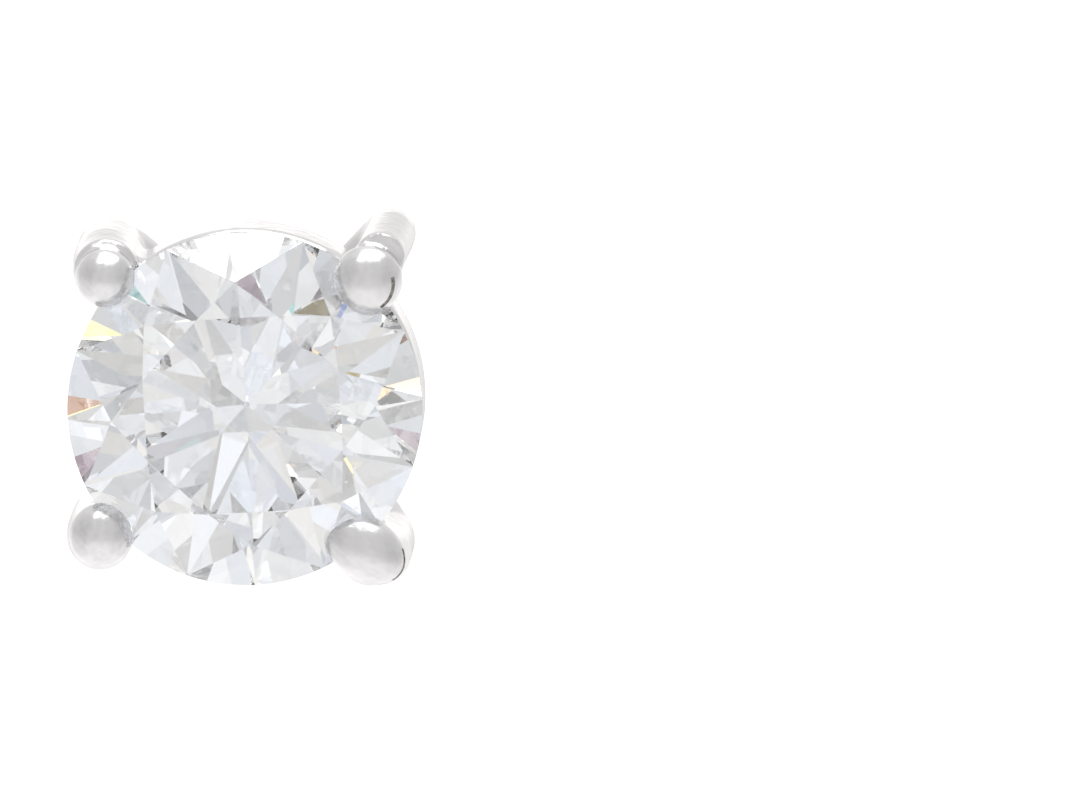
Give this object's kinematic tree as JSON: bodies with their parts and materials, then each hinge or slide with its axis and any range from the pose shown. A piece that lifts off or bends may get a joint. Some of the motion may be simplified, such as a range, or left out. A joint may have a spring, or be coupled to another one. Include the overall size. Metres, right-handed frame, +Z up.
{
  "type": "stud earring",
  "caption": "Round brilliant-cut stone held by domed claws in a cast white gold basket on a straight ear post.",
  "frame": {"origin": "on the table under the middle of the stud's bounding box, as it lies by itself", "axes": "+Z up from the table, -Y the way the stone faces, +Y along the post to its free end"},
  "size_m": [0.005, 0.0144, 0.0055],
  "materials": {
    "stone": "faceted and polished",
    "white_gold": "polished rhodium plate over white gold"
  },
  "bodies": {
    "root": {"stone": "stone", "claw_setting": "white_gold", "ear_post": "white_gold"}
  },
  "joints": []
}
